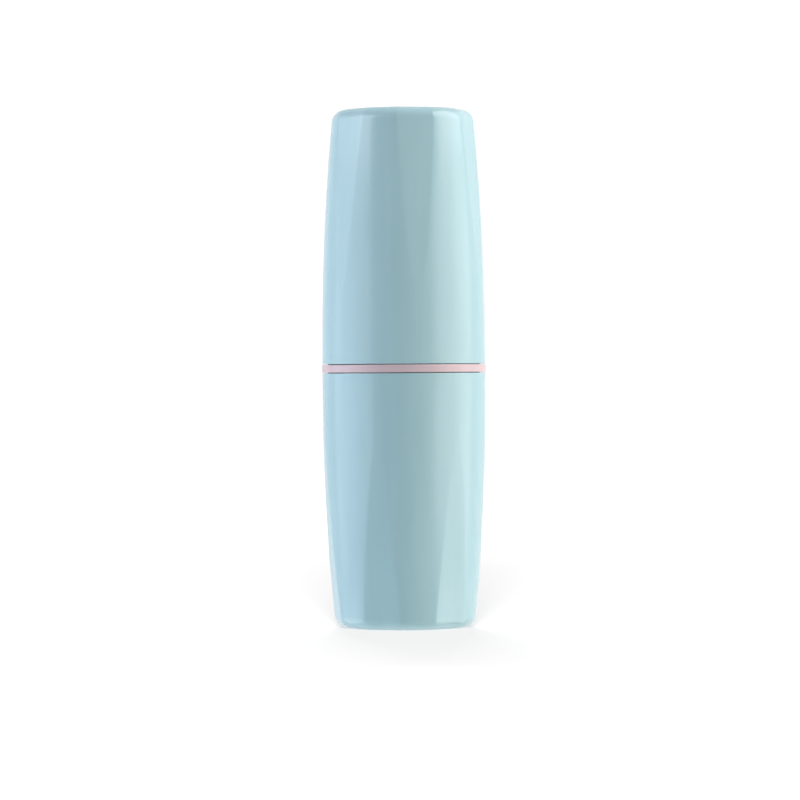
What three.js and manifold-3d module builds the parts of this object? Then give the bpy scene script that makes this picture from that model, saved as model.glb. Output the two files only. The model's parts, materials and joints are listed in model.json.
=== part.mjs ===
// Travel toothbrush case, standing upright on its lower cup.
//
// Two cups from one mould push mouth to mouth onto a coupling sleeve. The sleeve's flange shows as a
// thin band around the waist. A grip ring in a groove of each spigot holds its cup by friction, and a
// lift-out rack on a ledge inside the sleeve keeps the brushes and the tube apart.
// Millimetres, +Z up, origin at the centre of the foot, one flat of the upper cup facing -Y.

import * as THREE from "three";
import { mergeVertices } from "three/addons/utils/BufferGeometryUtils.js";
import Module from "manifold-3d";

// Overall sizes
const CASE_HEIGHT = 200;
const WAIST_DIAMETER = 63.5; // over the band
const END_DIAMETER = 55; // across the round sides, where the end rounding starts

// Barrel form of a cup, and the flats in its sides
const BARREL_POWER = 2.2; // how late the wall curves in towards its end
const END_ROUND = 5;
const FLATS = 6;
const FLAT_WIDTH = 14.2; // at the end, where a flat is widest
const FLAT_FADE = 28; // plain round wall between the mouth and the tips of the flats
const FLAT_POWER = 1.1; // how steadily the flats deepen towards the end

// Cup walls, foot and mouth
const WALL = 2.3;
const FLOOR = 2.4;
const FLOOR_ROUND = 4;
const FOOT_WIDTH = 3.2;
const FOOT_RECESS = 0.9;
const MOUTH_WALL = 1.8;
const LIP_ROUND = 0.35;

// Band and seams
const BAND_HEIGHT = 3;
const BAND_PROUD = 0.2;
const BAND_ROUND = 0.45;
const SEAM_GAP = 0.25;

// Spigots of the sleeve, and the sockets that take them
const SPIGOT_LENGTH = 16;
const SPIGOT_WALL = 2.2;
const SPIGOT_CLEARANCE = 0.45;
const SPIGOT_LEAD = 0.9;
const SOCKET_END_GAP = 1;

// Grip rings and their grooves
const GRIP_RING_OFFSET = 9; // from the band's face to the ring's middle
const GRIP_RING_HEIGHT = 2;
const GROOVE_DEPTH = 1.1;
const GROOVE_SIDE_GAP = 0.2;
const GRIP_CLEARANCE = 0.1;

// Ledge and key that seat the rack in the sleeve
const LEDGE_WIDTH = 1.6;
const LEDGE_THICKNESS = 2;
const KEY_WIDTH = 2.4;
const KEY_REACH = 0.9;
const KEY_ROOT = 0.6; // how far the key runs into the sleeve's wall

// Rack
const RACK_CLEARANCE = 0.35;
const RACK_SEAT_GAP = 0.1;
const RACK_PLATE = 2;
const RACK_RIM_WALL = 1.8;
const RACK_RIM_HEIGHT = 7;
const BRUSH_HOLE_DIAMETER = 15;
const BRUSH_HOLE_SPACING = 20;
const TUBE_SLOT_LENGTH = 36;
const TUBE_SLOT_WIDTH = 17;
const RACK_BAR_WIDTH = 6; // between the brush holes and the tube slot
const LIFT_TAB_LENGTH = 18;
const LIFT_TAB_THICKNESS = 2.6;
const LIFT_TAB_HEIGHT = 13; // above the plate
const LIFT_TAB_ROUND = 5;

// Fineness of the curved faces
const SEGMENTS_PER_FLAT = 8; // in a flat and the round side beside it
const SEGMENTS = FLATS * SEGMENTS_PER_FLAT;
const WALL_STEPS = 9;
const BORE_STEPS = 6;
const ROUND_STEPS = 3;
const RING_POINTS = 8;
const HOLE_SEGMENTS = 10;
const CUT_MARGIN = 1; // how far a cutter runs past the faces that it cuts
const MERGE_DISTANCE = 1e-4;

// Sizes that follow from those above
const SEAM_HEIGHT = CASE_HEIGHT / 2;
const BAND_FACE = BAND_HEIGHT / 2;
const BAND_RADIUS = WAIST_DIAMETER / 2;
const MOUTH_RADIUS = BAND_RADIUS - BAND_PROUD;
const END_RADIUS = END_DIAMETER / 2;
const CUP_HEIGHT = SEAM_HEIGHT - BAND_FACE - SEAM_GAP;
const FLAT_TIP = CUP_HEIGHT - FLAT_FADE;
const FLAT_DEPTH = END_RADIUS - Math.sqrt(END_RADIUS ** 2 - (FLAT_WIDTH / 2) ** 2);
const LOWER_CUP_TURN = Math.PI / FLATS; // its flats stand under the upper cup's round sides
const SOCKET_RADIUS = MOUTH_RADIUS - MOUTH_WALL;
const SOCKET_DEPTH = SPIGOT_LENGTH - SEAM_GAP + SOCKET_END_GAP;
const FLOOR_TOP = FOOT_RECESS + FLOOR;
const SPIGOT_RADIUS = SOCKET_RADIUS - SPIGOT_CLEARANCE;
const SPIGOT_END = BAND_FACE + SPIGOT_LENGTH;
const SLEEVE_BORE = SPIGOT_RADIUS - SPIGOT_WALL;
const GROOVE_FLOOR = SPIGOT_RADIUS - GROOVE_DEPTH;
const GRIP_RING_LEVEL = BAND_FACE + GRIP_RING_OFFSET;
const LEDGE_TOP = LEDGE_THICKNESS / 2;
const LEDGE_RADIUS = SLEEVE_BORE - LEDGE_WIDTH;
const RACK_RADIUS = SLEEVE_BORE - RACK_CLEARANCE;

const shell = new THREE.MeshStandardMaterial({ color: "#a6cbd2", roughness: 0.35, metalness: 0 });
const pinkPlastic = new THREE.MeshStandardMaterial({ color: "#d9bfc6", roughness: 0.4, metalness: 0 });
const silicone = new THREE.MeshStandardMaterial({ color: "#c8c8c2", roughness: 0.6, metalness: 0 });
const milkyPlastic = new THREE.MeshStandardMaterial({ color: "#c9cecc", roughness: 0.45, metalness: 0 });

const wasm = await Module();
wasm.setup();

// A closed geometry as a solid that can be joined and cut
function solidOf(geometry) {
  const bare = geometry.clone();
  bare.deleteAttribute("normal");
  bare.deleteAttribute("uv");
  const merged = mergeVertices(bare, MERGE_DISTANCE);
  return new wasm.Manifold(
    new wasm.Mesh({
      numProp: 3,
      vertProperties: merged.attributes.position.array,
      triVerts: new Uint32Array(merged.index.array),
    }),
  );
}

function geometryOf(solid) {
  const mesh = solid.getMesh();
  return new THREE.BufferGeometry()
    .setAttribute("position", new THREE.BufferAttribute(mesh.vertProperties, 3))
    .setIndex(new THREE.BufferAttribute(mesh.triVerts, 1));
}

// A profile of radius and height turned about Z, with its first segment facing -Y
function turned(profile) {
  return new THREE.LatheGeometry(profile, SEGMENTS).rotateX(Math.PI / 2);
}

const at = (radius, height) => new THREE.Vector2(radius, height);

// A rounded corner in a profile, from one direction of its outward normal to another
function corner(centreRadius, centreHeight, round, fromAngle, toAngle) {
  const clockwise = toAngle < fromAngle;
  const arc = new THREE.EllipseCurve(
    centreRadius, centreHeight, round, round, fromAngle, toAngle, clockwise,
  );
  return arc.getPoints(ROUND_STEPS);
}

// Radius of the round barrel at a height above the closed end
function barrelRadius(height) {
  const share = Math.max(0, (CUP_HEIGHT - height) / (CUP_HEIGHT - END_ROUND));
  return MOUTH_RADIUS - (MOUTH_RADIUS - END_RADIUS) * share ** BARREL_POWER;
}

// How far the middle of a flat lies inside the round barrel
function flatDepth(height) {
  const share = Math.max(0, (FLAT_TIP - height) / (FLAT_TIP - END_ROUND));
  return FLAT_DEPTH * share ** FLAT_POWER;
}

// Radius of a flat cut into the barrel, as a share of the barrel's own radius
function flatShare(angle, height) {
  const level = Math.max(height, END_ROUND);
  const pitch = (2 * Math.PI) / FLATS;
  const offCentre = angle - pitch * Math.round(angle / pitch);
  const flat = barrelRadius(level) - flatDepth(level);
  return Math.min(1, flat / (barrelRadius(level) * Math.cos(offCentre)));
}

// Round inside of the cup, a wall's thickness under the flats
const boreRadius = (height) => barrelRadius(height) - flatDepth(height) - WALL;

// Heights spread evenly between two levels, both included
function levels(from, to, steps) {
  return Array.from({ length: steps + 1 }, (_, step) => from + ((to - from) * step) / steps);
}

// Outside of a cup, from the middle of its underside to the outer edge of its lip
function cupSkin() {
  const footEdge = END_RADIUS - END_ROUND;
  const footInside = footEdge - FOOT_WIDTH;
  return [
    at(0, FOOT_RECESS),
    at(footInside - FOOT_RECESS, FOOT_RECESS),
    at(footInside, 0),
    ...corner(footEdge, END_ROUND, END_ROUND, -Math.PI / 2, 0),
    ...levels(END_ROUND, CUP_HEIGHT - LIP_ROUND, WALL_STEPS).slice(1).map((z) => at(barrelRadius(z), z)),
    at(MOUTH_RADIUS - LIP_ROUND, CUP_HEIGHT),
  ];
}

// Inside of a cup, from the inner edge of its lip to the middle of its floor
function cupBore() {
  const socketEnd = CUP_HEIGHT - SOCKET_DEPTH;
  const shoulder = SOCKET_RADIUS - boreRadius(socketEnd);
  const floorEdge = FLOOR_TOP + FLOOR_ROUND;
  const floorRadius = boreRadius(floorEdge) - FLOOR_ROUND;
  return [
    at(SOCKET_RADIUS + LIP_ROUND, CUP_HEIGHT),
    at(SOCKET_RADIUS, CUP_HEIGHT - LIP_ROUND),
    at(SOCKET_RADIUS, socketEnd),
    ...levels(socketEnd - shoulder, floorEdge, BORE_STEPS).slice(0, -1).map((z) => at(boreRadius(z), z)),
    ...corner(floorRadius, floorEdge, FLOOR_ROUND, 0, -Math.PI / 2),
    at(0, FLOOR_TOP),
  ];
}

// A cup standing on its closed end, with the flats pressed into its outside
function cupGeometry() {
  const skin = cupSkin();
  const profile = [...skin, ...cupBore()];
  const geometry = turned(profile);
  const position = geometry.getAttribute("position");
  for (let vertex = 0; vertex < position.count; vertex += 1) {
    if (vertex % profile.length >= skin.length) continue;
    const [x, y, z] = [position.getX(vertex), position.getY(vertex), position.getZ(vertex)];
    const share = flatShare(Math.atan2(x, -y), z);
    position.setXY(vertex, x * share, y * share);
  }
  return geometry;
}

// Outside of one spigot from its tip to the band, for the end above (1) or below (-1) the seam
function spigotSide(end) {
  const grooveHalf = GRIP_RING_HEIGHT / 2 + GROOVE_SIDE_GAP;
  return [
    at(SPIGOT_RADIUS - SPIGOT_LEAD, end * SPIGOT_END),
    at(SPIGOT_RADIUS, end * (SPIGOT_END - SPIGOT_LEAD)),
    at(SPIGOT_RADIUS, end * (GRIP_RING_LEVEL + grooveHalf)),
    at(GROOVE_FLOOR, end * (GRIP_RING_LEVEL + grooveHalf)),
    at(GROOVE_FLOOR, end * (GRIP_RING_LEVEL - grooveHalf)),
    at(SPIGOT_RADIUS, end * (GRIP_RING_LEVEL - grooveHalf)),
    at(SPIGOT_RADIUS, end * BAND_FACE),
  ];
}

// Coupling sleeve about the seam: two spigots, the band between them, and the rack's ledge and key
function sleeveGeometry() {
  const roundCentre = BAND_RADIUS - BAND_ROUND;
  const roundLevel = BAND_FACE - BAND_ROUND;
  const profile = [
    ...spigotSide(-1),
    ...corner(roundCentre, -roundLevel, BAND_ROUND, -Math.PI / 2, 0),
    ...corner(roundCentre, roundLevel, BAND_ROUND, 0, Math.PI / 2),
    ...spigotSide(1).reverse(),
    at(SLEEVE_BORE, SPIGOT_END),
    at(SLEEVE_BORE, LEDGE_TOP),
    at(LEDGE_RADIUS, LEDGE_TOP),
    at(LEDGE_RADIUS, LEDGE_TOP - LEDGE_THICKNESS),
    at(SLEEVE_BORE, LEDGE_TOP - LEDGE_THICKNESS - LEDGE_WIDTH),
    at(SLEEVE_BORE, -SPIGOT_END),
  ];
  profile.push(profile[0].clone());
  const keyHeight = SPIGOT_END - SPIGOT_LEAD - LEDGE_TOP + KEY_ROOT;
  const key = new THREE.BoxGeometry(KEY_WIDTH, KEY_REACH + KEY_ROOT, keyHeight).translate(
    0,
    -(SLEEVE_BORE + (KEY_ROOT - KEY_REACH) / 2),
    LEDGE_TOP - KEY_ROOT + keyHeight / 2,
  );
  return geometryOf(solidOf(turned(profile)).add(solidOf(key)));
}

// Grip ring about its own middle, as it is squeezed between its groove and the socket
function gripRingGeometry() {
  const inside = GROOVE_FLOOR + GRIP_CLEARANCE;
  const outside = SOCKET_RADIUS - GRIP_CLEARANCE;
  const section = new THREE.EllipseCurve(
    (inside + outside) / 2, 0, (outside - inside) / 2, GRIP_RING_HEIGHT / 2,
  );
  return turned(section.getPoints(RING_POINTS));
}

// A rounded slot as a shape, lying along X about its own middle
function slotShape(length, width) {
  const round = width / 2;
  const reach = length / 2 - round;
  return new THREE.Shape()
    .absarc(reach, 0, round, -Math.PI / 2, Math.PI / 2)
    .absarc(-reach, 0, round, Math.PI / 2, (3 * Math.PI) / 2);
}

// A cutter through the rack's plate
function plateCutter(shape, x, y) {
  const cutter = new THREE.ExtrudeGeometry(shape, {
    depth: RACK_PLATE + 2 * CUT_MARGIN,
    bevelEnabled: false,
    curveSegments: HOLE_SEGMENTS,
  });
  return solidOf(cutter.translate(x, y, -CUT_MARGIN));
}

// Upright tab on the rack's bar, to lift the rack out by
function liftTab() {
  const half = LIFT_TAB_LENGTH / 2;
  const top = RACK_PLATE + LIFT_TAB_HEIGHT;
  const outline = new THREE.Shape()
    .moveTo(-half, RACK_PLATE / 2)
    .lineTo(half, RACK_PLATE / 2)
    .absarc(half - LIFT_TAB_ROUND, top - LIFT_TAB_ROUND, LIFT_TAB_ROUND, 0, Math.PI / 2)
    .absarc(LIFT_TAB_ROUND - half, top - LIFT_TAB_ROUND, LIFT_TAB_ROUND, Math.PI / 2, Math.PI);
  const tab = new THREE.ExtrudeGeometry(outline, {
    depth: LIFT_TAB_THICKNESS,
    bevelEnabled: false,
    curveSegments: HOLE_SEGMENTS / 2,
  });
  return solidOf(tab.translate(0, 0, -LIFT_TAB_THICKNESS / 2).rotateX(Math.PI / 2));
}

// Rack on its plate's underside: a rimmed disc with two brush holes, a tube slot and a key notch
function rackGeometry() {
  const dish = turned([
    at(0, 0),
    at(RACK_RADIUS, 0),
    at(RACK_RADIUS, RACK_RIM_HEIGHT),
    at(RACK_RADIUS - RACK_RIM_WALL, RACK_RIM_HEIGHT),
    at(RACK_RADIUS - RACK_RIM_WALL, RACK_PLATE),
    at(0, RACK_PLATE),
  ]);
  const brushHole = slotShape(BRUSH_HOLE_DIAMETER, BRUSH_HOLE_DIAMETER);
  const brushRow = -(RACK_BAR_WIDTH + BRUSH_HOLE_DIAMETER) / 2;
  const tubeRow = (RACK_BAR_WIDTH + TUBE_SLOT_WIDTH) / 2;
  const notchDepth = KEY_REACH + RACK_CLEARANCE;
  const notch = new THREE.BoxGeometry(
    KEY_WIDTH + 2 * RACK_CLEARANCE,
    2 * notchDepth,
    RACK_RIM_HEIGHT + 2 * CUT_MARGIN,
  ).translate(0, -SLEEVE_BORE, RACK_RIM_HEIGHT / 2);
  const rack = solidOf(dish)
    .subtract(plateCutter(brushHole, -BRUSH_HOLE_SPACING / 2, brushRow))
    .subtract(plateCutter(brushHole, BRUSH_HOLE_SPACING / 2, brushRow))
    .subtract(plateCutter(slotShape(TUBE_SLOT_LENGTH, TUBE_SLOT_WIDTH), 0, tubeRow))
    .subtract(solidOf(notch))
    .add(liftTab());
  return geometryOf(rack);
}

function piece(name, geometry, material, height) {
  const mesh = new THREE.Mesh(geometry, material);
  mesh.name = name;
  mesh.position.z = height;
  return mesh;
}

const lowerCup = piece("lower_cup", cupGeometry(), shell, 0);
lowerCup.rotation.z = LOWER_CUP_TURN;

const upperCup = piece("upper_cup", cupGeometry(), shell, CASE_HEIGHT);
upperCup.rotation.x = Math.PI;

// The sleeve, its rings and the rack are placed from the seam
const coupling = new THREE.Group();
coupling.position.z = SEAM_HEIGHT;
coupling.add(
  piece("coupling_sleeve", sleeveGeometry(), pinkPlastic, 0),
  piece("lower_grip_ring", gripRingGeometry(), silicone, -GRIP_RING_LEVEL),
  piece("upper_grip_ring", gripRingGeometry(), silicone, GRIP_RING_LEVEL),
  piece("brush_rack", rackGeometry(), milkyPlastic, LEDGE_TOP + RACK_SEAT_GAP),
);

const toothbrushCase = new THREE.Group();
toothbrushCase.add(lowerCup, coupling, upperCup);

export default toothbrushCase;
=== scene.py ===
"""Finished surfaces, studio and camera of a barrel-shaped travel toothbrush case.

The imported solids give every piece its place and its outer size. Each piece is made again here as a
fine closed skin, is dressed in its own moulded material and rides on the body of its solid.
Pieces, finishes and the camera are sized in millimetres, lamps and the paper sweep in metres.
"""

from __future__ import annotations

import json
import logging
import math
from dataclasses import dataclass
from enum import Enum
from typing import Any

import bmesh
import bpy
from mathutils import Matrix, Vector

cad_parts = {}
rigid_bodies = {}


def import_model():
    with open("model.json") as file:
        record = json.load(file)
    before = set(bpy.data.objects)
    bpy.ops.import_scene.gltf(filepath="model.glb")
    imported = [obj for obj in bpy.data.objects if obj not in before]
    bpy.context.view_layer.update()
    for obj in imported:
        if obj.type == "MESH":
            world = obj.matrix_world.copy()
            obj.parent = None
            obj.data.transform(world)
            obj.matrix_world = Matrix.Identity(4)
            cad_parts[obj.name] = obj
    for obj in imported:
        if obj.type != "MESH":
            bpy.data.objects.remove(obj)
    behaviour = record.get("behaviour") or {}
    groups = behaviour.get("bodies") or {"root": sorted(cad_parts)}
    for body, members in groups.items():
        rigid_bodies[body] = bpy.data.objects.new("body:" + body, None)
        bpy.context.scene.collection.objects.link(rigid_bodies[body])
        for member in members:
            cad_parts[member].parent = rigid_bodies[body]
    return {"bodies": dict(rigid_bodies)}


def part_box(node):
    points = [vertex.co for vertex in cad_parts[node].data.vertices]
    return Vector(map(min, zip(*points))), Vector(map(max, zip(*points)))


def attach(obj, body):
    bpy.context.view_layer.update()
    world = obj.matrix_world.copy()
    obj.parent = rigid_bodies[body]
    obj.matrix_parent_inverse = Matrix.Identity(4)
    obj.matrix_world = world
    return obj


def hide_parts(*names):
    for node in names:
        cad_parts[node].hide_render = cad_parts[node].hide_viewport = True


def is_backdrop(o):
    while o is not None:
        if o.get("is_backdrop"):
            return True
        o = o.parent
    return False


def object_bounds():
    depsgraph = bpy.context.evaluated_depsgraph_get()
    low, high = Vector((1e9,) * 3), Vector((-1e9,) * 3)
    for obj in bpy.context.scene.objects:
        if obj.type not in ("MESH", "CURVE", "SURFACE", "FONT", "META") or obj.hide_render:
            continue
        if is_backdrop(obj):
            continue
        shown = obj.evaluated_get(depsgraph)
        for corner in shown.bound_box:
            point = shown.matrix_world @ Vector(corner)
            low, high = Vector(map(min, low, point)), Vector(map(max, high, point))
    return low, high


LOG = logging.getLogger("toothbrush_case")
MM = 0.001
IMAGE_SIDE = 800  # pixels across and down

Profile = list[tuple[float, float]]


class End(Enum):
    """Which end of the case a piece belongs to, as a sign along its axis."""

    LOWER = -1
    UPPER = 1


class Slot(Enum):
    """Material slots of the record."""

    SHELL = "aqua_shell"
    SLEEVE = "pink_sleeve"
    GRIP = "grip_silicone"
    RACK = "milky_rack"


def linear(colour: str) -> tuple[float, float, float, float]:
    """Turns an sRGB hex colour to linear light.

    Args:
        colour: six hex digits after a hash sign.

    Returns:
        Red, green, blue and full alpha.
    """
    shares = [int(colour[start : start + 2], 16) / 255 for start in (1, 3, 5)]
    red, green, blue = (
        share / 12.92 if share <= 0.04045 else ((share + 0.055) / 1.055) ** 2.4 for share in shares
    )
    return red, green, blue, 1.0


def add_node(
    tree: bpy.types.NodeTree, kind: str, inputs: dict | None = None, **settings: Any
) -> bpy.types.Node:
    """Adds one node with its settings, and sets or links its inputs.

    Args:
        tree: node tree of a material or of the world.
        kind: Blender's name for the node.
        inputs: a value, or a socket to link from, for each named or numbered input.
        settings: properties of the node itself.

    Returns:
        The new node.
    """
    node = tree.nodes.new(kind)
    for name, value in settings.items():
        setattr(node, name, value)
    for name, value in (inputs or {}).items():
        if isinstance(value, bpy.types.NodeSocket):
            tree.links.new(value, node.inputs[name])
        else:
            node.inputs[name].default_value = value
    return node


def blank_material(name: str) -> bpy.types.Material:
    """Makes a material to put nodes in.

    Args:
        name: the material's name.

    Returns:
        A new material whose node tree is empty.
    """
    material = bpy.data.materials.new(name)
    material.use_nodes = True
    material.node_tree.nodes.clear()
    return material


def blend_step(share: float) -> float:
    """Returns a share of 0 to 1 eased at both ends."""
    held = min(1.0, max(0.0, share))
    return held * held * (3 - 2 * held)


def spread(first: float, last: float, steps: int) -> list[float]:
    """Returns values spread evenly from the first to the last, both included."""
    return [first + (last - first) * step / steps for step in range(steps + 1)]


def arc(centre: tuple[float, float], radius: float, start: float, end: float, steps: int) -> Profile:
    """Lays out a rounded corner of a profile.

    Args:
        centre: radius and height of the arc's middle.
        radius: radius of the arc.
        start: direction of its first point, in degrees from straight out.
        end: direction of its last point.
        steps: how many chords it has.

    Returns:
        The arc's points, as radius and height.
    """
    turns = [math.radians(angle) for angle in spread(start, end, steps)]
    return [(centre[0] + radius * math.cos(turn), centre[1] + radius * math.sin(turn)) for turn in turns]


@dataclass(frozen=True)
class Corner:
    """A corner of a turned profile: where its two sides would meet, and the fillet there."""

    radius: float
    height: float
    fillet: float


def rounded(corners: list[Corner], chords: int = 5, hold: float = 0.25, most: float = 0.45) -> Profile:
    """Rounds the corners of a closed profile.

    Args:
        corners: the corners in order, outside going up and inside coming down.
        chords: how many chords each fillet has.
        hold: distance from a fillet at which an extra point keeps a straight side straight.
        most: share of the shorter side at a corner that its fillet may take up.

    Returns:
        The points of the closed profile, without its first point repeated.
    """
    points: Profile = []
    places = [Vector((corner.radius, corner.height)) for corner in corners]
    for index, corner in enumerate(corners):
        place = places[index]
        back = places[index - 1] - place
        ahead = places[(index + 1) % len(places)] - place
        room = most * min(back.length, ahead.length)
        back.normalize()
        ahead.normalize()
        half_angle = back.angle(ahead) / 2
        tangent = min(corner.fillet / math.tan(half_angle), room)
        fillet = tangent * math.tan(half_angle)
        centre = place + (back + ahead).normalized() * (fillet / math.sin(half_angle))
        start = place + back * tangent - centre
        turn = start.angle_signed(place + ahead * tangent - centre)
        if tangent + hold < room:
            points.append(tuple(place + back * (tangent + hold)))
        for share in spread(0, 1, chords):
            points.append(tuple(centre + Matrix.Rotation(-turn * share, 2) @ start))
        if tangent + hold < room:
            points.append(tuple(place + ahead * (tangent + hold)))
    return points


class Skin:
    """A closed skin of quads between rings of points about the case's axis."""

    def __init__(self) -> None:
        """Starts with no rings."""
        self.rings: list[list[Vector]] = []

    def add(self, radii: list[float], height: float, angles: list[float]) -> None:
        """Adds one ring.

        Args:
            radii: distance from the axis at each angle.
            height: the ring's height.
            angles: directions in radians, from -Y towards +X.
        """
        ring = [
            Vector((radius * math.sin(angle), -radius * math.cos(angle), height)) * MM
            for radius, angle in zip(radii, angles)
        ]
        self.rings.append(ring)

    def mesh(self, name: str, poles: tuple[float, float] | None = None) -> bpy.types.Mesh:
        """Joins the rings into one smooth mesh.

        Args:
            name: the mesh's name.
            poles: heights of the points that close the first and last ring, or None where the last
                ring joins the first.

        Returns:
            The mesh, with its faces pointing out.
        """
        columns = len(self.rings[0])
        points = [point for ring in self.rings for point in ring]
        pairs = [(row, row + 1) for row in range(len(self.rings) - 1)]
        if poles is None:
            pairs.append((len(self.rings) - 1, 0))
        around = [(column, (column + 1) % columns) for column in range(columns)]
        faces = [
            (row * columns + here, row * columns + there, after * columns + there, after * columns + here)
            for row, after in pairs
            for here, there in around
        ]
        if poles is not None:
            first, last = len(points), len(points) + 1
            points += [Vector((0, 0, height)) * MM for height in poles]
            top = (len(self.rings) - 1) * columns
            faces += [(first, there, here) for here, there in around]
            faces += [(last, top + here, top + there) for here, there in around]
        mesh = bpy.data.meshes.new(name)
        mesh.from_pydata(points, [], faces)
        mesh.shade_smooth()
        return mesh


def turned_mesh(
    name: str, profile: Profile, columns: int, poles: tuple[float, float] | None = None
) -> bpy.types.Mesh:
    """Turns a profile about the axis.

    Args:
        name: the mesh's name.
        profile: radius and height of its points, outside going up.
        columns: how many columns of quads it has.
        poles: heights at which the profile's ends are closed on the axis, or None where they join.

    Returns:
        The turned mesh.
    """
    skin = Skin()
    angles = [2 * math.pi * column / columns for column in range(columns)]
    for radius, height in profile:
        skin.add([radius] * columns, height, angles)
    return skin.mesh(name, poles)


def put_in_place(
    mesh: bpy.types.Mesh, node: str, material: bpy.types.Material
) -> bpy.types.Object:
    """Puts a finished mesh in the place of its solid.

    Args:
        mesh: the mesh in the case's frame.
        node: the solid that it stands for, which is also its body's name.
        material: its finish.

    Returns:
        The piece, riding on its body.
    """
    piece = bpy.data.objects.new(f"{node}_finished", mesh)
    bpy.context.scene.collection.objects.link(piece)
    mesh.materials.append(material)
    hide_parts(node)
    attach(piece, node)
    LOG.info("%s: %d faces", piece.name, len(mesh.polygons))
    return piece


@dataclass(frozen=True)
class MouldedPolypropylene:
    """Polypropylene injection-moulded in a polished tool.

    It gives the eye a smooth satin gloss over a cloudy colour, with a very slight orange peel, pale
    streaks along the flow and a dull rub where the part stands or is pushed home.
    """

    name: str
    colour: str
    streak_colour: str
    roughness: float
    milkiness: float
    ior: float = 1.49
    streak_width: float = 9.0
    streak_length: float = 60.0
    streak_detail: float = 3.0
    streak_span: tuple[float, float] = (0.35, 0.7)  # noise levels between which a streak comes in
    peel_width: float = 2.6  # coarser than the real peel, so that it shows at the render's scale
    peel_height: float = 0.0035
    peel_detail: float = 1.0
    haze_width: float = 14.0
    haze_detail: float = 4.0
    haze_span: tuple[float, float] = (0.3, 0.7)
    haze_range: float = 0.05
    rub_height: float = 0.3
    rub_roughness: float = 0.22
    scatter_depth: float = 0.9
    scatter_spread: tuple[float, float, float] = (0.8, 1.0, 1.0)  # of red, green and blue

    def material(self, ends: tuple[float, float]) -> bpy.types.Material:
        """Builds the finish.

        Args:
            ends: lowest and highest level of the case, where it is rubbed by what it stands on.

        Returns:
            The material.
        """
        material = blank_material(self.name)
        tree = material.node_tree
        place = add_node(tree, "ShaderNodeTexCoord").outputs["Object"]
        along = self.streak_width / self.streak_length
        flow = add_node(tree, "ShaderNodeMapping", {"Vector": place, "Scale": (1, 1, along)})
        streaks = add_node(
            tree,
            "ShaderNodeTexNoise",
            {
                "Vector": flow.outputs["Vector"],
                "Scale": 1 / (self.streak_width * MM),
                "Detail": self.streak_detail,
            },
        )
        streak_share = add_node(
            tree,
            "ShaderNodeMapRange",
            {
                "Value": streaks.outputs["Fac"],
                "From Min": self.streak_span[0],
                "From Max": self.streak_span[1],
            },
        )
        tint = add_node(
            tree,
            "ShaderNodeMix",
            {0: streak_share.outputs["Result"], 6: linear(self.colour), 7: linear(self.streak_colour)},
            data_type="RGBA",
        )
        haze = add_node(
            tree,
            "ShaderNodeTexNoise",
            {"Vector": place, "Scale": 1 / (self.haze_width * MM), "Detail": self.haze_detail},
        )
        gloss = add_node(
            tree,
            "ShaderNodeMapRange",
            {
                "Value": haze.outputs["Fac"],
                "From Min": self.haze_span[0],
                "From Max": self.haze_span[1],
                "To Min": self.roughness - self.haze_range / 2,
                "To Max": self.roughness + self.haze_range / 2,
            },
        )
        roughness = self._with_rub(tree, place, gloss.outputs["Result"], ends)
        peel = add_node(
            tree,
            "ShaderNodeTexNoise",
            {"Vector": place, "Scale": 1 / (self.peel_width * MM), "Detail": self.peel_detail},
        )
        ripple = add_node(
            tree,
            "ShaderNodeBump",
            {"Height": peel.outputs["Fac"], "Distance": self.peel_height * MM, "Strength": 1.0},
        )
        plastic = add_node(
            tree,
            "ShaderNodeBsdfPrincipled",
            {
                "Base Color": tint.outputs[2],
                "Roughness": roughness,
                "IOR": self.ior,
                "Subsurface Weight": self.milkiness,
                "Subsurface Radius": self.scatter_spread,
                "Subsurface Scale": self.scatter_depth * MM,
                "Normal": ripple.outputs["Normal"],
            },
        )
        add_node(tree, "ShaderNodeOutputMaterial", {"Surface": plastic.outputs["BSDF"]})
        return material

    def _with_rub(
        self,
        tree: bpy.types.NodeTree,
        place: bpy.types.NodeSocket,
        gloss: bpy.types.NodeSocket,
        ends: tuple[float, float],
    ) -> bpy.types.NodeSocket:
        """Dulls the gloss on the rims that the case stands on.

        Args:
            tree: the material's node tree.
            place: the place on the piece.
            gloss: roughness of the clean surface.
            ends: lowest and highest level of the case.

        Returns:
            Roughness with the rub.
        """
        middle = (ends[0] + ends[1]) / 2
        reach = (ends[1] - ends[0]) / 2
        height = add_node(tree, "ShaderNodeSeparateXYZ", {"Vector": place}).outputs["Z"]
        off_middle = add_node(tree, "ShaderNodeMath", {0: height, 1: middle}, operation="SUBTRACT")
        distance = add_node(tree, "ShaderNodeMath", {0: off_middle.outputs[0]}, operation="ABSOLUTE")
        rub = add_node(
            tree,
            "ShaderNodeMapRange",
            {
                "Value": distance.outputs[0],
                "From Min": reach - self.rub_height * MM,
                "From Max": reach,
                "To Max": self.rub_roughness,
            },
        )
        total = add_node(
            tree, "ShaderNodeMath", {0: gloss, 1: rub.outputs["Result"]}, operation="ADD", use_clamp=True
        )
        return total.outputs[0]


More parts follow.
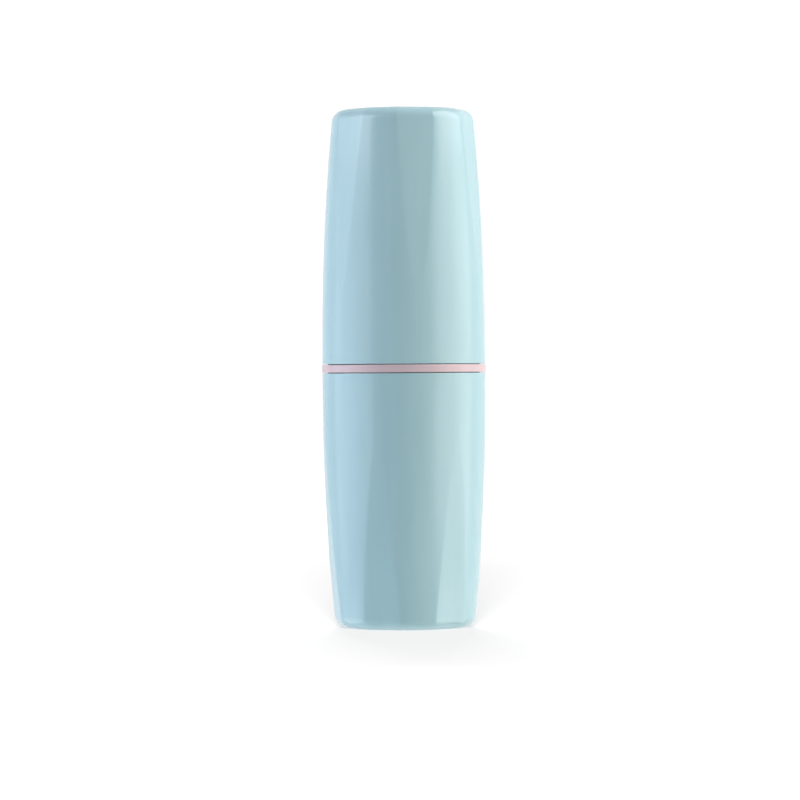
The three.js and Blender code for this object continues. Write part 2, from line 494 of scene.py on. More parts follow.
@dataclass(frozen=True)
class MouldedSilicone:
    """Silicone rubber from a matt press mould: soft, cloudy and slightly dusty."""

    name: str = "silicone_press_moulded"
    colour: str = "#c8c8c2"
    dust_colour: str = "#b8b7b0"
    roughness: float = 0.55
    ior: float = 1.41
    cloudiness: float = 0.35
    dust_width: float = 0.9
    dust_detail: float = 5.0
    dust_span: tuple[float, float] = (0.5, 0.75)  # noise levels between which the dust comes in
    grain_width: float = 0.35
    grain_height: float = 0.004
    scatter_depth: float = 1.2
    scatter_spread: tuple[float, float, float] = (1.0, 1.0, 0.9)  # of red, green and blue

    def material(self) -> bpy.types.Material:
        """Builds the finish.

        Returns:
            Cloudy rubber with lint and the fine grain of its mould.
        """
        material = blank_material(self.name)
        tree = material.node_tree
        place = add_node(tree, "ShaderNodeTexCoord").outputs["Object"]
        dust = add_node(
            tree,
            "ShaderNodeTexNoise",
            {"Vector": place, "Scale": 1 / (self.dust_width * MM), "Detail": self.dust_detail},
        )
        dusty = add_node(
            tree,
            "ShaderNodeMapRange",
            {
                "Value": dust.outputs["Fac"],
                "From Min": self.dust_span[0],
                "From Max": self.dust_span[1],
            },
        )
        tint = add_node(
            tree,
            "ShaderNodeMix",
            {0: dusty.outputs["Result"], 6: linear(self.colour), 7: linear(self.dust_colour)},
            data_type="RGBA",
        )
        grain = add_node(
            tree, "ShaderNodeTexNoise", {"Vector": place, "Scale": 1 / (self.grain_width * MM)}
        )
        bump = add_node(
            tree,
            "ShaderNodeBump",
            {"Height": grain.outputs["Fac"], "Distance": self.grain_height * MM, "Strength": 1.0},
        )
        rubber = add_node(
            tree,
            "ShaderNodeBsdfPrincipled",
            {
                "Base Color": tint.outputs[2],
                "Roughness": self.roughness,
                "IOR": self.ior,
                "Subsurface Weight": self.cloudiness,
                "Subsurface Radius": self.scatter_spread,
                "Subsurface Scale": self.scatter_depth * MM,
                "Normal": bump.outputs["Normal"],
            },
        )
        add_node(tree, "ShaderNodeOutputMaterial", {"Surface": rubber.outputs["BSDF"]})
        return material


# Cloudy pastel polypropylene of the cups
AQUA_SHELL = MouldedPolypropylene(
    "aqua_polypropylene_moulded", "#a0c5d0", "#a5cad5", roughness=0.2, milkiness=0.08
)

# The same plastic in a dusty pink
PINK_SLEEVE = MouldedPolypropylene(
    "pink_polypropylene_moulded", "#c9b4bd", "#cebcc4", roughness=0.3, milkiness=0.12
)

# Uncoloured polypropylene, which stays cloudy like thin milk
MILKY_RACK = MouldedPolypropylene(
    "natural_polypropylene_moulded", "#c9cecc", "#d2d6d4", roughness=0.4, milkiness=0.4
)


@dataclass(frozen=True)
class Barrel:
    """Outer form of a cup on its closed end: a round barrel with flats that run out to the mouth."""

    height: float
    mouth_radius: float
    end_radius: float = 27.5
    end_round: float = 5.0
    power: float = 2.2
    flats: int = 6
    flat_width: float = 14.2
    flat_fade: float = 28.0
    flat_power: float = 1.1
    edge_soft: float = 0.16
    least_edge: float = math.radians(2.2)
    edge_gap: float = 0.3  # between the columns along the edge of a flat, at most
    edge_gaps: int = 6  # least number of such gaps from the middle of a flat to its edge
    flat_columns: int = 4
    round_columns: int = 5

    @property
    def pitch(self) -> float:
        """Angle from one flat to the next."""
        return 2 * math.pi / self.flats

    @property
    def foot_edge(self) -> float:
        """Radius of the foot, at which the end rounding starts."""
        return self.end_radius - self.end_round

    def radius(self, height: float) -> float:
        """Returns the round wall's radius at a height."""
        share = max(0.0, (self.height - height) / (self.height - self.end_round))
        return self.mouth_radius - (self.mouth_radius - self.end_radius) * share**self.power

    def flat_depth(self, height: float) -> float:
        """Works out the depth of the flats.

        Args:
            height: height above the closed end.

        Returns:
            How far the middle of a flat lies inside the round wall.
        """
        deepest = self.end_radius - math.sqrt(self.end_radius**2 - (self.flat_width / 2) ** 2)
        tip = self.height - self.flat_fade
        share = max(0.0, (tip - height) / (tip - self.end_round))
        return deepest * share**self.flat_power

    def share(self, off_centre: float, height: float) -> float:
        """Works out how much of the round radius is left where a flat is cut in.

        Args:
            off_centre: angle from the nearest flat's middle.
            height: height above the closed end.

        Returns:
            The share of the round radius, with the flat's edges softened.
        """
        level = max(height, self.end_round)
        depth = self.flat_depth(level)
        if depth <= 0:
            return 1.0
        radius = self.radius(level)
        flat = (radius - depth) / (radius * math.cos(off_centre))
        soft = min(self.edge_soft, depth / 2) / radius
        # A parabola takes the corner off where the flat meets the round wall
        near = max(0.0, soft - abs(1 - flat)) / soft
        return min(1.0, flat) - near * near * soft / 4

    def columns(self, height: float) -> list[float]:
        """Lays out the angles of one ring, close together along the edges of the flats.

        Args:
            height: height of the ring above the closed end.

        Returns:
            The angles around the ring, in radians.
        """
        level = max(height, self.end_round)
        radius = self.radius(level)
        edge = max(self.least_edge, math.acos(1 - self.flat_depth(level) / radius))
        gap = min(self.edge_gap / radius, edge / self.edge_gaps)
        offsets = spread(0, edge - 2 * gap, self.flat_columns)
        offsets += [edge - gap, edge, edge + gap]
        offsets += spread(edge + 2 * gap, self.pitch / 2, self.round_columns)
        sector = [-offset for offset in reversed(offsets)] + offsets[1:-1]
        return [flat * self.pitch + offset for flat in range(self.flats) for offset in sector]

    def off_centre(self, angle: float) -> float:
        """Returns an angle's distance from the middle of the nearest flat."""
        return angle - self.pitch * round(angle / self.pitch)


@dataclass(frozen=True)
class Cup:
    """One of the two cups: flats outside, round inside, a recessed foot and a socket in its mouth."""

    end: End
    wall: float = 2.3
    floor: float = 2.4
    floor_round: float = 4.0
    foot_width: float = 3.2
    foot_recess: float = 0.9
    mouth_wall: float = 1.8
    lip_round: float = 0.25
    socket_depth: float = 16.75
    step_run: float = 1.6  # width of the step around the recess, for each unit of its depth
    gate_radius: float = 3.2
    gate_depth: float = 0.4
    gate_flat: float = 0.7  # share of the gate mark's radius that is flat
    gate_run_out: float = 1.15  # share of that radius at which the mark has run out
    gate_edge: float = 0.04  # depth left at that radius
    stub_radius: float = 0.9
    stub_taper: float = 0.2
    stub_sink: float = 0.1  # how far the gate's stub stays inside the face of the recess
    shoulder_soft: float = 0.06  # how far the edges of the shoulder below the socket are eased
    shoulder_above: float = 0.2  # plain rows this far above and below it keep the easing short
    shoulder_below: float = 0.3
    disc_margin: float = 0.4  # from the outermost row of a disc to the curve around it
    floor_middle: float = 4.0  # radius of the innermost row of the floor
    wall_rows: int = 64
    bore_rows: int = 28
    end_rows: int = 12
    curve_rows: int = 8
    plain_rows: int = 4
    lip_rows: tuple[int, int] = (5, 4)  # outside and inside

    @property
    def node(self) -> str:
        """Name of the solid, and of the body that it rides on."""
        return f"{self.end.name.lower()}_cup"

    def barrel(self) -> Barrel:
        """Returns the outer form, sized from the solid."""
        low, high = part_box(self.node)
        return Barrel(height=(high.z - low.z) / MM, mouth_radius=(high.x - low.x) / 2 / MM)

    def underside(self, barrel: Barrel) -> Profile:
        """Lays out the foot from its gate mark to the bottom of the wall.

        Args:
            barrel: the cup's outer form.

        Returns:
            Radius and height of its points, without the middle one.
        """
        recess = self.foot_recess
        step_out = barrel.foot_edge - self.foot_width
        step_in = step_out - self.step_run * recess
        stub = self.stub_radius
        dimple = recess + self.gate_depth
        gate = [
            (stub * (1 - self.stub_taper), recess + self.stub_sink),
            (stub, recess + 2 * self.stub_sink),
            (stub * (1 + self.stub_taper), dimple),
            (self.gate_radius * self.gate_flat, dimple),
            (self.gate_radius, recess + self.gate_edge),
            (self.gate_radius * self.gate_run_out, recess),
        ]
        rows = spread(self.gate_radius * 2, step_in - self.disc_margin, self.plain_rows)
        disc = [(radius, recess) for radius in rows]
        step = [
            (step_in + (step_out - step_in) * share, recess * (1 - blend_step(share)))
            for share in spread(0, 1, self.curve_rows)
        ]
        rim = [(radius, 0.0) for radius in spread(step_out, barrel.foot_edge, self.plain_rows)[1:-1]]
        end = arc((barrel.foot_edge, barrel.end_round), barrel.end_round, -90, 0, self.end_rows)
        return gate + disc + step + rim + end

    def outside(self, barrel: Barrel) -> Profile:
        """Lays out the wall from the end rounding to the outer edge of the lip.

        Args:
            barrel: the cup's outer form.

        Returns:
            Radius and height of its points.
        """
        lip = self.lip_round
        top = barrel.height - lip
        levels = spread(barrel.end_round, top - lip, self.wall_rows)[1:]
        wall = [(barrel.radius(level), level) for level in levels]
        return wall + arc((barrel.mouth_radius - lip, top), lip, 0, 90, self.lip_rows[0])

    def inside(self, barrel: Barrel) -> Profile:
        """Lays out the inside from the lip to the edge of the floor's middle.

        Args:
            barrel: the cup's outer form.

        Returns:
            Radius and height of its points.
        """
        lip = self.lip_round
        socket = barrel.mouth_radius - self.mouth_wall
        socket_end = barrel.height - self.socket_depth
        floor_top = self.foot_recess + self.floor
        floor_edge = floor_top + self.floor_round

        def bore(height: float) -> float:
            """Returns the round inside's radius, a wall under the flats."""
            return barrel.radius(height) - barrel.flat_depth(height) - self.wall

        shoulder = socket - bore(socket_end)
        shoulder_end = socket_end - shoulder
        soft = self.shoulder_soft
        mouth = arc((socket + lip, barrel.height - lip), lip, 90, 180, self.lip_rows[1])
        socket_levels = spread(barrel.height - 2 * lip, socket_end + self.shoulder_above, self.plain_rows)
        wall = [(socket, level) for level in socket_levels]
        step = [(socket - soft, socket_end), (bore(socket_end) + soft, shoulder_end)]
        levels = spread(shoulder_end - self.shoulder_below, floor_edge, self.bore_rows)
        sides = [(bore(level), level) for level in levels]
        floor_radius = bore(floor_edge) - self.floor_round
        corner = arc((floor_radius, floor_edge), self.floor_round, 0, -90, self.curve_rows)[1:]
        rows = spread(floor_radius - self.disc_margin, self.floor_middle, self.plain_rows)
        disc = [(radius, floor_top) for radius in rows]
        return mouth + wall + step + sides + corner + disc

    def mesh(self) -> bpy.types.Mesh:
        """Makes the cup's skin.

        Returns:
            The closed skin in the case's frame.
        """
        barrel = self.barrel()
        skin = Skin()
        for radius, height in self.underside(barrel) + self.outside(barrel):
            angles = barrel.columns(height)
            # The flats start on the foot's rim, around a round recess
            flatness = min(1.0, max(0.0, 1 - (barrel.foot_edge - radius) / self.foot_width))
            shares = [barrel.share(barrel.off_centre(angle), height) for angle in angles]
            skin.add([radius * (1 - flatness * (1 - share)) for share in shares], height, angles)
        angles = barrel.columns(barrel.height)
        for radius, height in self.inside(barrel):
            skin.add([radius] * len(angles), height, angles)
        floor_top = self.foot_recess + self.floor
        mesh = skin.mesh(self.node, poles=(self.foot_recess + self.stub_sink, floor_top))
        mesh.transform(self._stance(barrel))
        return mesh

    def _stance(self, barrel: Barrel) -> Matrix:
        """Works out how the cup stands in the case.

        Args:
            barrel: the cup's outer form.

        Returns:
            The turn and lift that stand it in its place.
        """
        if self.end is End.LOWER:
            return Matrix.Rotation(math.pi / barrel.flats, 4, "Z")
        return Matrix.Translation((0, 0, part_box(self.node)[1].z)) @ Matrix.Rotation(math.pi, 4, "X")

    def dress(self, material: bpy.types.Material) -> bpy.types.Object:
        """Returns the finished cup on its body."""
        return put_in_place(self.mesh(), self.node, material)


@dataclass(frozen=True)
class CouplingSleeve:
    """The sleeve between the cups: a banded flange, two grooved spigots, and the rack's ledge and key."""

    node: str = "coupling_sleeve"
    band_height: float = 3.0
    band_round: float = 0.35
    spigot_inset: float = 2.45  # from the face of the band in to the spigots
    spigot_wall: float = 2.2
    spigot_lead: float = 0.9
    ring_offset: float = 9.0
    groove_height: float = 2.4
    groove_depth: float = 1.1
    ledge_width: float = 1.6
    ledge_thickness: float = 2.0
    key_width: float = 2.4
    key_reach: float = 0.9
    key_root: float = 0.6
    key_round: float = 0.3
    key_chords: int = 3
    edge_round: float = 0.2
    sharp_angle: float = 40.0  # in degrees, from which an edge stays sharp
    columns: int = 180

    @property
    def band_radius(self) -> float:
        """Radius over the band, from the solid."""
        low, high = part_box(self.node)
        return (high.x - low.x) / 2 / MM

    @property
    def spigot_radius(self) -> float:
        """Radius of both spigots."""
        return self.band_radius - self.spigot_inset

    @property
    def groove_radius(self) -> float:
        """Radius of the floor of a grip ring's groove."""
        return self.spigot_radius - self.groove_depth

    def spigot(self, end: End, length: float) -> list[Corner]:
        """Lays out the outside of one spigot.

        Args:
            end: the spigot's end of the case.
            length: height of its tip from the seam.

        Returns:
            Its corners from the tip to the flange.
        """
        face = self.band_height / 2
        tip = self.spigot_radius - self.spigot_lead
        groove = self.groove_radius
        middle = face + self.ring_offset
        half = self.groove_height / 2
        places = [
            (tip, length),
            (self.spigot_radius, length - self.spigot_lead),
            (self.spigot_radius, middle + half),
            (groove, middle + half),
            (groove, middle - half),
            (self.spigot_radius, middle - half),
            (self.spigot_radius, face),
        ]
        return [Corner(radius, end.value * height, self.edge_round) for radius, height in places]

    def profile(self, length: float) -> Profile:
        """Lays out the sleeve's whole section about the seam.

        Args:
            length: height of the spigots' tips from the seam.

        Returns:
            The closed profile.
        """
        face = self.band_height / 2
        bore = self.spigot_radius - self.spigot_wall
        ledge = bore - self.ledge_width
        ledge_top = self.ledge_thickness / 2
        small = self.edge_round
        flange = [Corner(self.band_radius, side * face, self.band_round) for side in (-1, 1)]
        inner = [
            Corner(bore, length, 2 * small),
            Corner(bore, ledge_top, small),
            Corner(ledge, ledge_top, 2 * small),
            Corner(ledge, -ledge_top, 2 * small),
            Corner(bore, -ledge_top - self.ledge_width, small),
            Corner(bore, -length, 2 * small),
        ]
        lower = self.spigot(End.LOWER, length)
        upper = self.spigot(End.UPPER, length)
        return rounded(lower + flange + upper[::-1] + inner)

    def key(self, length: float) -> bpy.types.Mesh:
        """Makes the rib that keeps the rack from turning.

        Args:
            length: height of the spigots' tips from the seam.

        Returns:
            A softened bar that runs into the sleeve's wall.
        """
        bore = self.spigot_radius - self.spigot_wall
        bottom = self.ledge_thickness / 2 - self.key_root
        top = length - self.spigot_lead
        size = Vector((self.key_width, self.key_reach + self.key_root, top - bottom)) * MM
        middle = Vector((0, -(bore + (self.key_root - self.key_reach) / 2), (top + bottom) / 2)) * MM
        bar = bmesh.new()
        bmesh.ops.create_cube(bar, size=1, matrix=Matrix.Translation(middle) @ Matrix.Diagonal((*size, 1)))
        bmesh.ops.bevel(
            bar,
            geom=bar.edges[:],
            offset=self.key_round * MM,
            segments=self.key_chords,
            profile=0.5,  # round
            affect="EDGES",
        )
        mesh = bpy.data.meshes.new("sleeve_key")
        bar.to_mesh(mesh)
        bar.free()
        return mesh

    def mesh(self) -> bpy.types.Mesh:
        """Makes the sleeve's skin.

        Returns:
            The closed skin in the case's frame.
        """
        low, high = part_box(self.node)
        length = (high.z - low.z) / 2 / MM
        seam = Matrix.Translation((0, 0, (high.z + low.z) / 2))
        turned = turned_mesh(self.node, self.profile(length), self.columns)
        joined = Carving(turned).join(self.key(length)).finished(self.node, self.sharp_angle)
        joined.transform(seam)
        return joined

    def dress(self, material: bpy.types.Material) -> bpy.types.Object:
        """Returns the finished sleeve on its body."""
        return put_in_place(self.mesh(), self.node, material)


@dataclass(frozen=True)
class GripRing:
    """A silicone ring squeezed oval between a spigot's groove and a cup's socket."""

    end: End
    groove_radius: float
    clearance: float = 0.1
    flash: float = 0.05
    section_points: int = 24
    columns: int = 144

    @property
    def node(self) -> str:
        """Name of the solid, and of the body that it rides on."""
        return f"{self.end.name.lower()}_grip_ring"

    def mesh(self) -> bpy.types.Mesh:
        """Makes the ring with the fine flash line that its mould leaves outside.

        Returns:
            The ring in the case's frame.
        """
        low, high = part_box(self.node)
        inside_radius = self.groove_radius + self.clearance
        outside_radius = (high.x - low.x) / 2 / MM - self.flash
        half_width = (outside_radius - inside_radius) / 2
        half_height = (high.z - low.z) / 2 / MM
        profile: Profile = []
        for point in range(self.section_points):
            turn = 2 * math.pi * point / self.section_points
            ridge = self.flash if point == 0 else 0.0
            radius = inside_radius + half_width * (1 + math.cos(turn)) + ridge
            profile.append((radius, half_height * math.sin(turn)))
        mesh = turned_mesh(self.node, profile, self.columns)
        mesh.transform(Matrix.Translation((0, 0, (high.z + low.z) / 2)))
        return mesh

    def dress(self, material: bpy.types.Material) -> bpy.types.Object:
        """Returns the finished ring on its body."""
        return put_in_place(self.mesh(), self.node, material)


class Carving:
    """A mesh that other meshes are joined to or cut from."""

    def __init__(self, mesh: bpy.types.Mesh) -> None:
        """Starts from one closed mesh."""
        self.block = self._object(mesh)
        self.tools: list[bpy.types.Object] = []

    @staticmethod
    def _object(mesh: bpy.types.Mesh) -> bpy.types.Object:
        """Makes a working object.

        Args:
            mesh: the mesh that it holds.

        Returns:
            The object, linked into the scene.
        """
        holder = bpy.data.objects.new(mesh.name, mesh)
        bpy.context.scene.collection.objects.link(holder)
        return holder

    def _apply(self, tool: bpy.types.Mesh, operation: str) -> Carving:
        """Adds one joining or cutting step.

        Args:
            tool: the mesh that is joined or cut.
            operation: Blender's name for the step.

        Returns:
            The carving itself.
        """
        step = self.block.modifiers.new(operation.lower(), "BOOLEAN")
        step.operation = operation
        step.solver = "EXACT"
        step.object = self._object(tool)
        self.tools.append(step.object)
        return self

    def join(self, tool: bpy.types.Mesh) -> Carving:
        """Joins another closed mesh to the block."""
        return self._apply(tool, "UNION")

    def cut(self, tool: bpy.types.Mesh) -> Carving:
        """Cuts another closed mesh out of the block."""
        return self._apply(tool, "DIFFERENCE")

    def soften(self, width: float, segments: int, angle: float) -> Carving:
        """Rounds the block's sharp edges.

        Args:
            width: size of the rounding.
            segments: how many faces it has.
            angle: least angle in degrees between two faces whose edge is rounded.

        Returns:
            The carving itself.
        """
        bevel = self.block.modifiers.new("softened_edges", "BEVEL")
        bevel.width = width * MM
        bevel.segments = segments
        bevel.limit_method = "ANGLE"
        bevel.angle_limit = math.radians(angle)
        bevel.harden_normals = True
        return self

    def finished(self, name: str, sharp: float) -> bpy.types.Mesh:
        """Carries out the steps and clears the working objects away.

        Args:
            name: name of the result.
            sharp: angle in degrees above which an edge stays sharp.

        Returns:
            The finished mesh.
        """
        graph = bpy.context.evaluated_depsgraph_get()
        mesh = bpy.data.meshes.new_from_object(self.block.evaluated_get(graph))
        mesh.name = name
        mesh.shade_smooth()
        mesh.set_sharp_from_angle(angle=math.radians(sharp))
        for holder in [self.block, *self.tools]:
            bpy.data.objects.remove(holder)
        return mesh


def prism(name: str, outline: Profile, bottom: float, top: float) -> bpy.types.Mesh:
    """Makes an upright prism.

    Args:
        name: the mesh's name.
        outline: its plan in X and Y, anticlockwise.
        bottom: height of its lower face.
        top: height of its upper face.

    Returns:
        The closed prism.
    """
    count = len(outline)
    points = [Vector((x, y, z)) * MM for z in (bottom, top) for x, y in outline]
    sides = [(here, (here + 1) % count) for here in range(count)]
    faces = [(here, there, there + count, here + count) for here, there in sides]
    faces.append(tuple(reversed(range(count))))
    faces.append(tuple(range(count, 2 * count)))
    mesh = bpy.data.meshes.new(name)
    mesh.from_pydata(points, [], faces)
    return mesh


@dataclass(frozen=True)
class BrushRack:
    """The lift-out rack: a rimmed disc with two brush holes, a tube slot, a key notch and a tab."""

    node: str = "brush_rack"
    plate: float = 2.0
    rim_wall: float = 1.8
    rim_height: float = 7.0
    brush_hole: float = 15.0
    brush_spacing: float = 20.0
    slot_length: float = 36.0
    slot_width: float = 17.0
    bar_width: float = 6.0
    notch_width: float = 3.1
    notch_depth: float = 0.9
    tab_length: float = 18.0
    tab_thickness: float = 2.6
    tab_round: float = 5.0
    edge_round: float = 0.35
    edge_chords: int = 3
    edge_angle: float = 35.0  # in degrees, from which an edge is rounded
    sharp_angle: float = 50.0  # in degrees, from which an edge stays sharp
    cut_margin: float = 1.0  # how far a cutter runs past the faces that it cuts
    columns: int = 128
    hole_chords: int = 24
    tab_chords: int = 10

    def slot_outline(self, length: float, width: float, middle: tuple[float, float]) -> Profile:
        """Lays out a slot with round ends, or a round hole where length and width agree.

        Args:
            length: size along X.
            width: size along Y.
            middle: its middle in X and Y.

        Returns:
            The slot's plan, anticlockwise.
        """
        reach = (length - width) / 2
        x, y = middle
        right = arc((x + reach, y), width / 2, -90, 90, self.hole_chords)
        left = arc((x - reach, y), width / 2, 90, 270, self.hole_chords)
        return right + left if reach > 0 else right[:-1] + left[:-1]

    def tab(self, height: float) -> bpy.types.Mesh:
        """Makes the upright tab on the bar between the holes and the slot.

        Args:
            height: height of the tab's top above the underside.

        Returns:
            The tab, standing across the rack.
        """
        half = self.tab_length / 2
        centre = height - self.tab_round
        crown = arc((half - self.tab_round, centre), self.tab_round, 0, 90, self.tab_chords)
        crown += arc((self.tab_round - half, centre), self.tab_round, 90, 180, self.tab_chords)
        outline = [(-half, self.plate / 2), (half, self.plate / 2), *crown]
        mesh = prism("rack_tab", outline, -self.tab_thickness / 2, self.tab_thickness / 2)
        mesh.transform(Matrix.Rotation(math.pi / 2, 4, "X"))
        return mesh

    def dish(self, radius: float) -> bpy.types.Mesh:
        """Makes the plain dish that the holes are cut in.

        Args:
            radius: outer radius of its rim.

        Returns:
            The dish on its underside.
        """
        inside = radius - self.rim_wall
        top = self.rim_height
        profile = [(radius, 0), (radius, top), (inside, top), (inside, self.plate)]
        return turned_mesh("rack_dish", profile, self.columns, poles=(0, self.plate))

    def mesh(self) -> bpy.types.Mesh:
        """Makes the rack's skin.

        Returns:
            The closed skin in the case's frame.
        """
        low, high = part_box(self.node)
        radius = (high.x - low.x) / 2 / MM
        height = (high.z - low.z) / MM
        brush_row = -(self.bar_width + self.brush_hole) / 2
        tube_row = (self.bar_width + self.slot_width) / 2
        half_notch = self.notch_width / 2
        margin = self.cut_margin
        notch = [
            (-half_notch, -radius - margin),
            (half_notch, -radius - margin),
            (half_notch, -radius + self.notch_depth),
            (-half_notch, -radius + self.notch_depth),
        ]
        outlines = [
            self.slot_outline(self.brush_hole, self.brush_hole, (side * self.brush_spacing / 2, brush_row))
            for side in (-1, 1)
        ]
        outlines.append(self.slot_outline(self.slot_length, self.slot_width, (0, tube_row)))
        carving = Carving(self.dish(radius))
        for outline in outlines:
            carving.cut(prism("rack_hole", outline, -margin, self.plate + margin))
        carving.cut(prism("rack_notch", notch, -margin, self.rim_height + margin))
        carving.join(self.tab(height))
        carving.soften(self.edge_round, self.edge_chords, self.edge_angle)
        mesh = carving.finished(self.node, self.sharp_angle)
        mesh.transform(Matrix.Translation((0, 0, low.z)))
        return mesh

    def dress(self, material: bpy.types.Material) -> bpy.types.Object:
        """Returns the finished rack on its body."""
        return put_in_place(self.mesh(), self.node, material)


@dataclass(frozen=True)
class ViewingCamera:
    """The camera at the photograph's viewing angle, level with the seam."""

    azimuth: float = -10.5
    distance: float = 1600.0
    scale: float = 2.583  # image pixels for each millimetre at the case's axis
    centre_x: float = 403.9  # pixel of the image at which the target shows
    centre_y: float = 368.4
    roll: float = -0.33
    sensor: float = 36.0

    def place(self, target: Vector) -> bpy.types.Object:
        """Makes the camera and sets it as the scene's.

        Args:
            target: the point that the camera is aimed at.

        Returns:
            The camera.
        """
        data = bpy.data.cameras.new("viewing_camera")
        data.sensor_width = self.sensor
        data.lens = self.scale * self.distance * self.sensor / IMAGE_SIDE
        data.shift_x = 0.5 - self.centre_x / IMAGE_SIDE
        data.shift_y = self.centre_y / IMAGE_SIDE - 0.5
        camera = bpy.data.objects.new("viewing_camera", data)
        bpy.context.scene.collection.objects.link(camera)
        turn = math.radians(self.azimuth)
        back = Vector((math.sin(turn), -math.cos(turn), 0))
        camera.location = target + back * self.distance * MM
        aim = (-back).to_track_quat("-Z", "Y").to_matrix().to_4x4()
        roll = Matrix.Rotation(math.radians(self.roll), 4, "Z")
        camera.rotation_euler = (aim @ roll).to_euler()
        bpy.context.scene.camera = camera
        return camera


@dataclass(frozen=True)
class Softbox:
    """A studio lamp behind a rectangle of diffusing cloth."""

    name: str
    azimuth: float
    elevation: float
    distance: float
    width: float
    height: float
    colour: str
    power: float
    mirrored: bool = True  # whether gloss shows the lamp

    def place(self, target: Vector, front: float, lit: bpy.types.Collection) -> bpy.types.Object:
        """Hangs the lamp around the case.

        Args:
            target: the point that the lamp faces.
            front: azimuth of the camera, from which the lamp's own is counted.
            lit: what the lamp lights.

        Returns:
            The lamp.
        """
        data = bpy.data.lights.new(self.name, "AREA")
        data.shape = "RECTANGLE"
        data.size = self.width
        data.size_y = self.height
        data.color = linear(self.colour)[:3]
        data.energy = self.power
        lamp = bpy.data.objects.new(self.name, data)
        bpy.context.scene.collection.objects.link(lamp)
        lamp.light_linking.receiver_collection = lit
        lamp.visible_glossy = self.mirrored
        turn = math.radians(front + self.azimuth)
        rise = math.radians(self.elevation)
        out = Vector((math.sin(turn) * math.cos(rise), -math.cos(turn) * math.cos(rise), math.sin(rise)))
        lamp.location = target + out * self.distance
        lamp.rotation_euler = (-out).to_track_quat("-Z", "Y").to_euler()
        return lamp


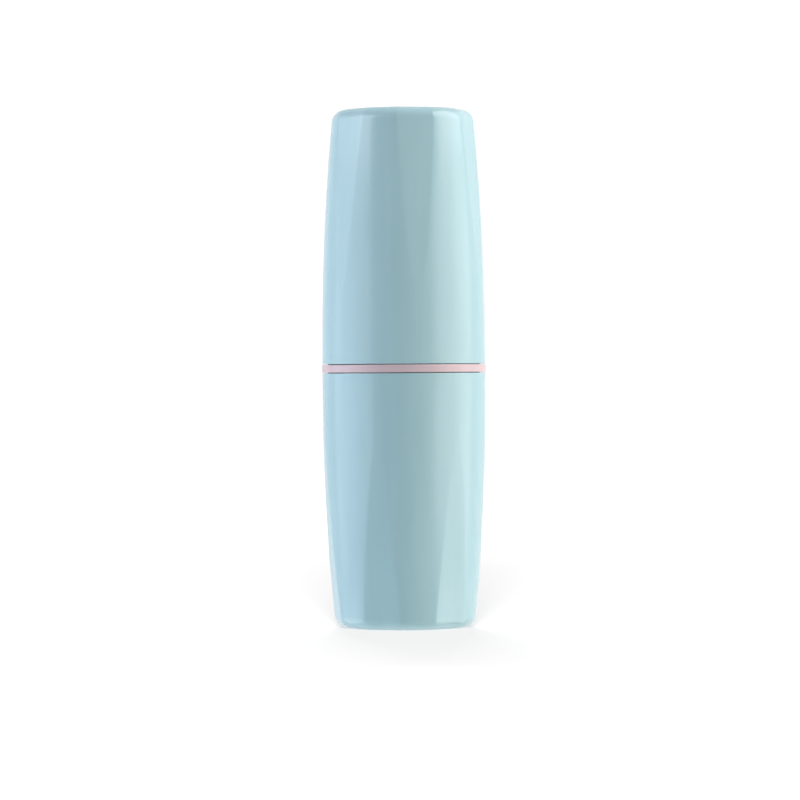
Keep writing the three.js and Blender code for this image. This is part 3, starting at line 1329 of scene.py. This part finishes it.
@dataclass(frozen=True)
class Studio:
    """A white sweep in a dim surround, with soft lamps at both sides and fills above, below and behind.

    The lamps around the case light the case alone, and the paper has two lamps of its own, which draw
    the soft shade around the foot.
    """

    sweep_half_width: float = 6.0
    sweep_front: float = 6.0
    sweep_back: float = 4.0
    sweep_radius: float = 1.0
    sweep_height: float = 5.0
    sweep_chords: int = 24
    paper: float = 0.9
    paper_shade: float = 0.25  # share of the true shading that the eye sees on the paper
    paper_glow: float = 0.592  # added to that near the case, so that a pale shadow is left
    glow_start: float = 0.6  # distance from the case at which the glow starts to rise to full white
    glow_full: float = 1.0
    surround: str = "#ffffff"
    surround_strength: float = 0.12
    softboxes: tuple[Softbox, ...] = (
        Softbox("right_key", 82, 38, 1.0, 0.9, 0.88, "#fffbf7", 10.7),
        Softbox("right_scrim", 76, 0, 1.0, 1.3, 0.46, "#fff2e5", 3.7),
        Softbox("right_table_lamp", 92, -29, 1.0, 0.8, 0.48, "#fff2ea", 2.9),
        Softbox("right_front_lamp", 34, -38, 1.0, 0.6, 0.5, "#f7ffec", 1.9, mirrored=False),
        Softbox("left_key", -76, 28, 1.0, 0.9, 0.48, "#f7f9ff", 5.8),
        Softbox("left_scrim", -80, 0, 1.0, 1.3, 0.46, "#f3f3ff", 2.9),
        Softbox("left_table_lamp", -98, -29, 1.0, 0.8, 0.48, "#fffbfe", 2.4),
        Softbox("left_front_lamp", -48, -38, 1.0, 0.6, 0.5, "#daf3ff", 1.7, mirrored=False),
        Softbox("table_glow", 0, -90, 0.6, 0.8, 0.8, "#ffffff", 1.45),
        Softbox("top_fill", 0, 90, 0.9, 0.8, 0.8, "#fffaec", 1.0),
        Softbox("back_fill", 180, 12, 1.0, 0.9, 0.9, "#ffffff", 4.0, mirrored=False),
    )
    paper_lamps: tuple[Softbox, ...] = (
        Softbox("paper_back_lamp", -177, 43, 2.0, 0.6, 0.5, "#ffffff", 44.0),
        Softbox("paper_front_lamp", -0.6, 20, 2.0, 0.26, 0.36, "#ffffff", 98.0),
    )

    def build(self, pieces: list[bpy.types.Object], target: Vector, front: float) -> None:
        """Sets up the sweep, the lamps and the surround.

        Args:
            pieces: the finished pieces of the case.
            target: middle of the case.
            front: azimuth of the camera.
        """
        scene = bpy.context.scene
        scene.view_settings.view_transform = "Standard"
        sweep = self._sweep(front)
        self._surround(scene)
        case = self._group("lit_case", pieces)
        for softbox in self.softboxes:
            softbox.place(target, front, case)
        paper = self._group("lit_paper", [sweep])
        for softbox in self.paper_lamps:
            softbox.place(target, front, paper)

    @staticmethod
    def _group(name: str, members: list[bpy.types.Object]) -> bpy.types.Collection:
        """Collects what a lamp lights.

        Args:
            name: the collection's name.
            members: the objects in it.

        Returns:
            The new collection.
        """
        group = bpy.data.collections.new(name)
        for member in members:
            group.objects.link(member)
        return group

    def _sweep(self, front: float) -> bpy.types.Object:
        """Makes the floor, which rises into a backdrop behind the case.

        Args:
            front: azimuth of the camera, to which the backdrop is square.

        Returns:
            The paper sweep.
        """
        bend = [
            (self.sweep_back + across, self.sweep_radius + rise)
            for across, rise in arc((0, 0), self.sweep_radius, -90, 0, self.sweep_chords)
        ]
        line = [(-self.sweep_front, 0.0), *bend, (bend[-1][0], self.sweep_height)]
        points = [(side * self.sweep_half_width, depth, rise) for depth, rise in line for side in (-1, 1)]
        faces = [(2 * row, 2 * row + 1, 2 * row + 3, 2 * row + 2) for row in range(len(line) - 1)]
        mesh = bpy.data.meshes.new("paper_sweep")
        mesh.from_pydata(points, [], faces)
        mesh.shade_smooth()
        mesh.materials.append(self._paper())
        sweep = bpy.data.objects.new("paper_sweep", mesh)
        sweep.rotation_euler = (0, 0, math.radians(front))
        # A lit table: the eye sees the paper and the shade on it, and the lamps below shine through
        sweep.visible_shadow = False
        sweep.visible_diffuse = False
        sweep.visible_glossy = False
        bpy.context.scene.collection.objects.link(sweep)
        sweep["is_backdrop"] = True
        return sweep

    @staticmethod
    def _seen(tree: bpy.types.NodeTree) -> bpy.types.NodeSocket:
        """Tells what the eye sees from what only gives light.

        Args:
            tree: node tree of a material or of the world.

        Returns:
            1 where a ray comes from the eye, a reflection or through glass, and 0 elsewhere.
        """
        path = add_node(tree, "ShaderNodeLightPath").outputs
        mirrored = add_node(
            tree,
            "ShaderNodeMath",
            {0: path["Is Glossy Ray"], 1: path["Is Transmission Ray"]},
            operation="MAXIMUM",
        )
        seen = add_node(
            tree,
            "ShaderNodeMath",
            {0: path["Is Camera Ray"], 1: mirrored.outputs[0]},
            operation="MAXIMUM",
        )
        return seen.outputs[0]

    def _paper(self) -> bpy.types.Material:
        """Builds the paper's finish.

        Returns:
            Matt paper that looks white to the eye and still takes a soft shadow.
        """
        material = blank_material("white_paper_matt")
        tree = material.node_tree
        seen = self._seen(tree)
        place = add_node(tree, "ShaderNodeTexCoord").outputs["Object"]
        away = add_node(tree, "ShaderNodeVectorMath", {0: place}, operation="LENGTH")
        glow = add_node(
            tree,
            "ShaderNodeMapRange",
            {
                "Value": away.outputs["Value"],
                "From Min": self.glow_start,
                "From Max": self.glow_full,
                "To Min": self.paper_glow,
                "To Max": 1.0,
            },
            interpolation_type="SMOOTHSTEP",
        )
        shown = add_node(
            tree, "ShaderNodeMath", {0: seen, 1: glow.outputs["Result"]}, operation="MULTIPLY"
        )
        shade = add_node(
            tree, "ShaderNodeMapRange", {"Value": seen, "To Min": self.paper, "To Max": self.paper_shade}
        )
        matt = add_node(tree, "ShaderNodeBsdfDiffuse", {"Color": shade.outputs["Result"]})
        white = add_node(
            tree,
            "ShaderNodeEmission",
            {"Color": linear(self.surround), "Strength": shown.outputs[0]},
        )
        sheet = add_node(tree, "ShaderNodeAddShader", {0: matt.outputs[0], 1: white.outputs[0]})
        add_node(tree, "ShaderNodeOutputMaterial", {"Surface": sheet.outputs[0]})
        return material

    def _surround(self, scene: bpy.types.Scene) -> None:
        """Gives the world a dim light and a white look.

        Args:
            scene: the scene whose world it is.
        """
        world = bpy.data.worlds.new("studio_surround")
        world.use_nodes = True
        tree = world.node_tree
        tree.nodes.clear()
        strength = add_node(
            tree,
            "ShaderNodeMapRange",
            {"Value": self._seen(tree), "To Min": self.surround_strength, "To Max": 1.0},
        )
        light = add_node(
            tree,
            "ShaderNodeBackground",
            {"Color": linear(self.surround), "Strength": strength.outputs["Result"]},
        )
        add_node(tree, "ShaderNodeOutputWorld", {"Surface": light.outputs[0]})
        scene.world = world


def clear_scene() -> None:
    """Removes the objects that a new file starts with."""
    for leftover in list(bpy.data.objects):
        bpy.data.objects.remove(leftover)


def main() -> None:
    """Builds the finished case, the studio and the camera."""
    logging.basicConfig(level=logging.INFO, format="%(name)s: %(message)s")
    clear_scene()
    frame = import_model()
    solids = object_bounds()
    low, high = solids
    middle = (low + high) / 2
    middle.x = middle.y = 0
    LOG.info("bodies: %s", ", ".join(frame["bodies"]))

    ends = (low.z, high.z)
    shell = AQUA_SHELL.material(ends)
    silicone = MouldedSilicone().material()
    sleeve = CouplingSleeve()
    pieces = [Cup(end).dress(shell) for end in End]
    pieces.append(sleeve.dress(PINK_SLEEVE.material(ends)))
    pieces += [GripRing(end, sleeve.groove_radius).dress(silicone) for end in End]
    pieces.append(BrushRack().dress(MILKY_RACK.material(ends)))

    camera = ViewingCamera()
    camera.place(middle)
    Studio().build(pieces, middle, camera.azimuth)


if __name__ == "__main__":
    main()
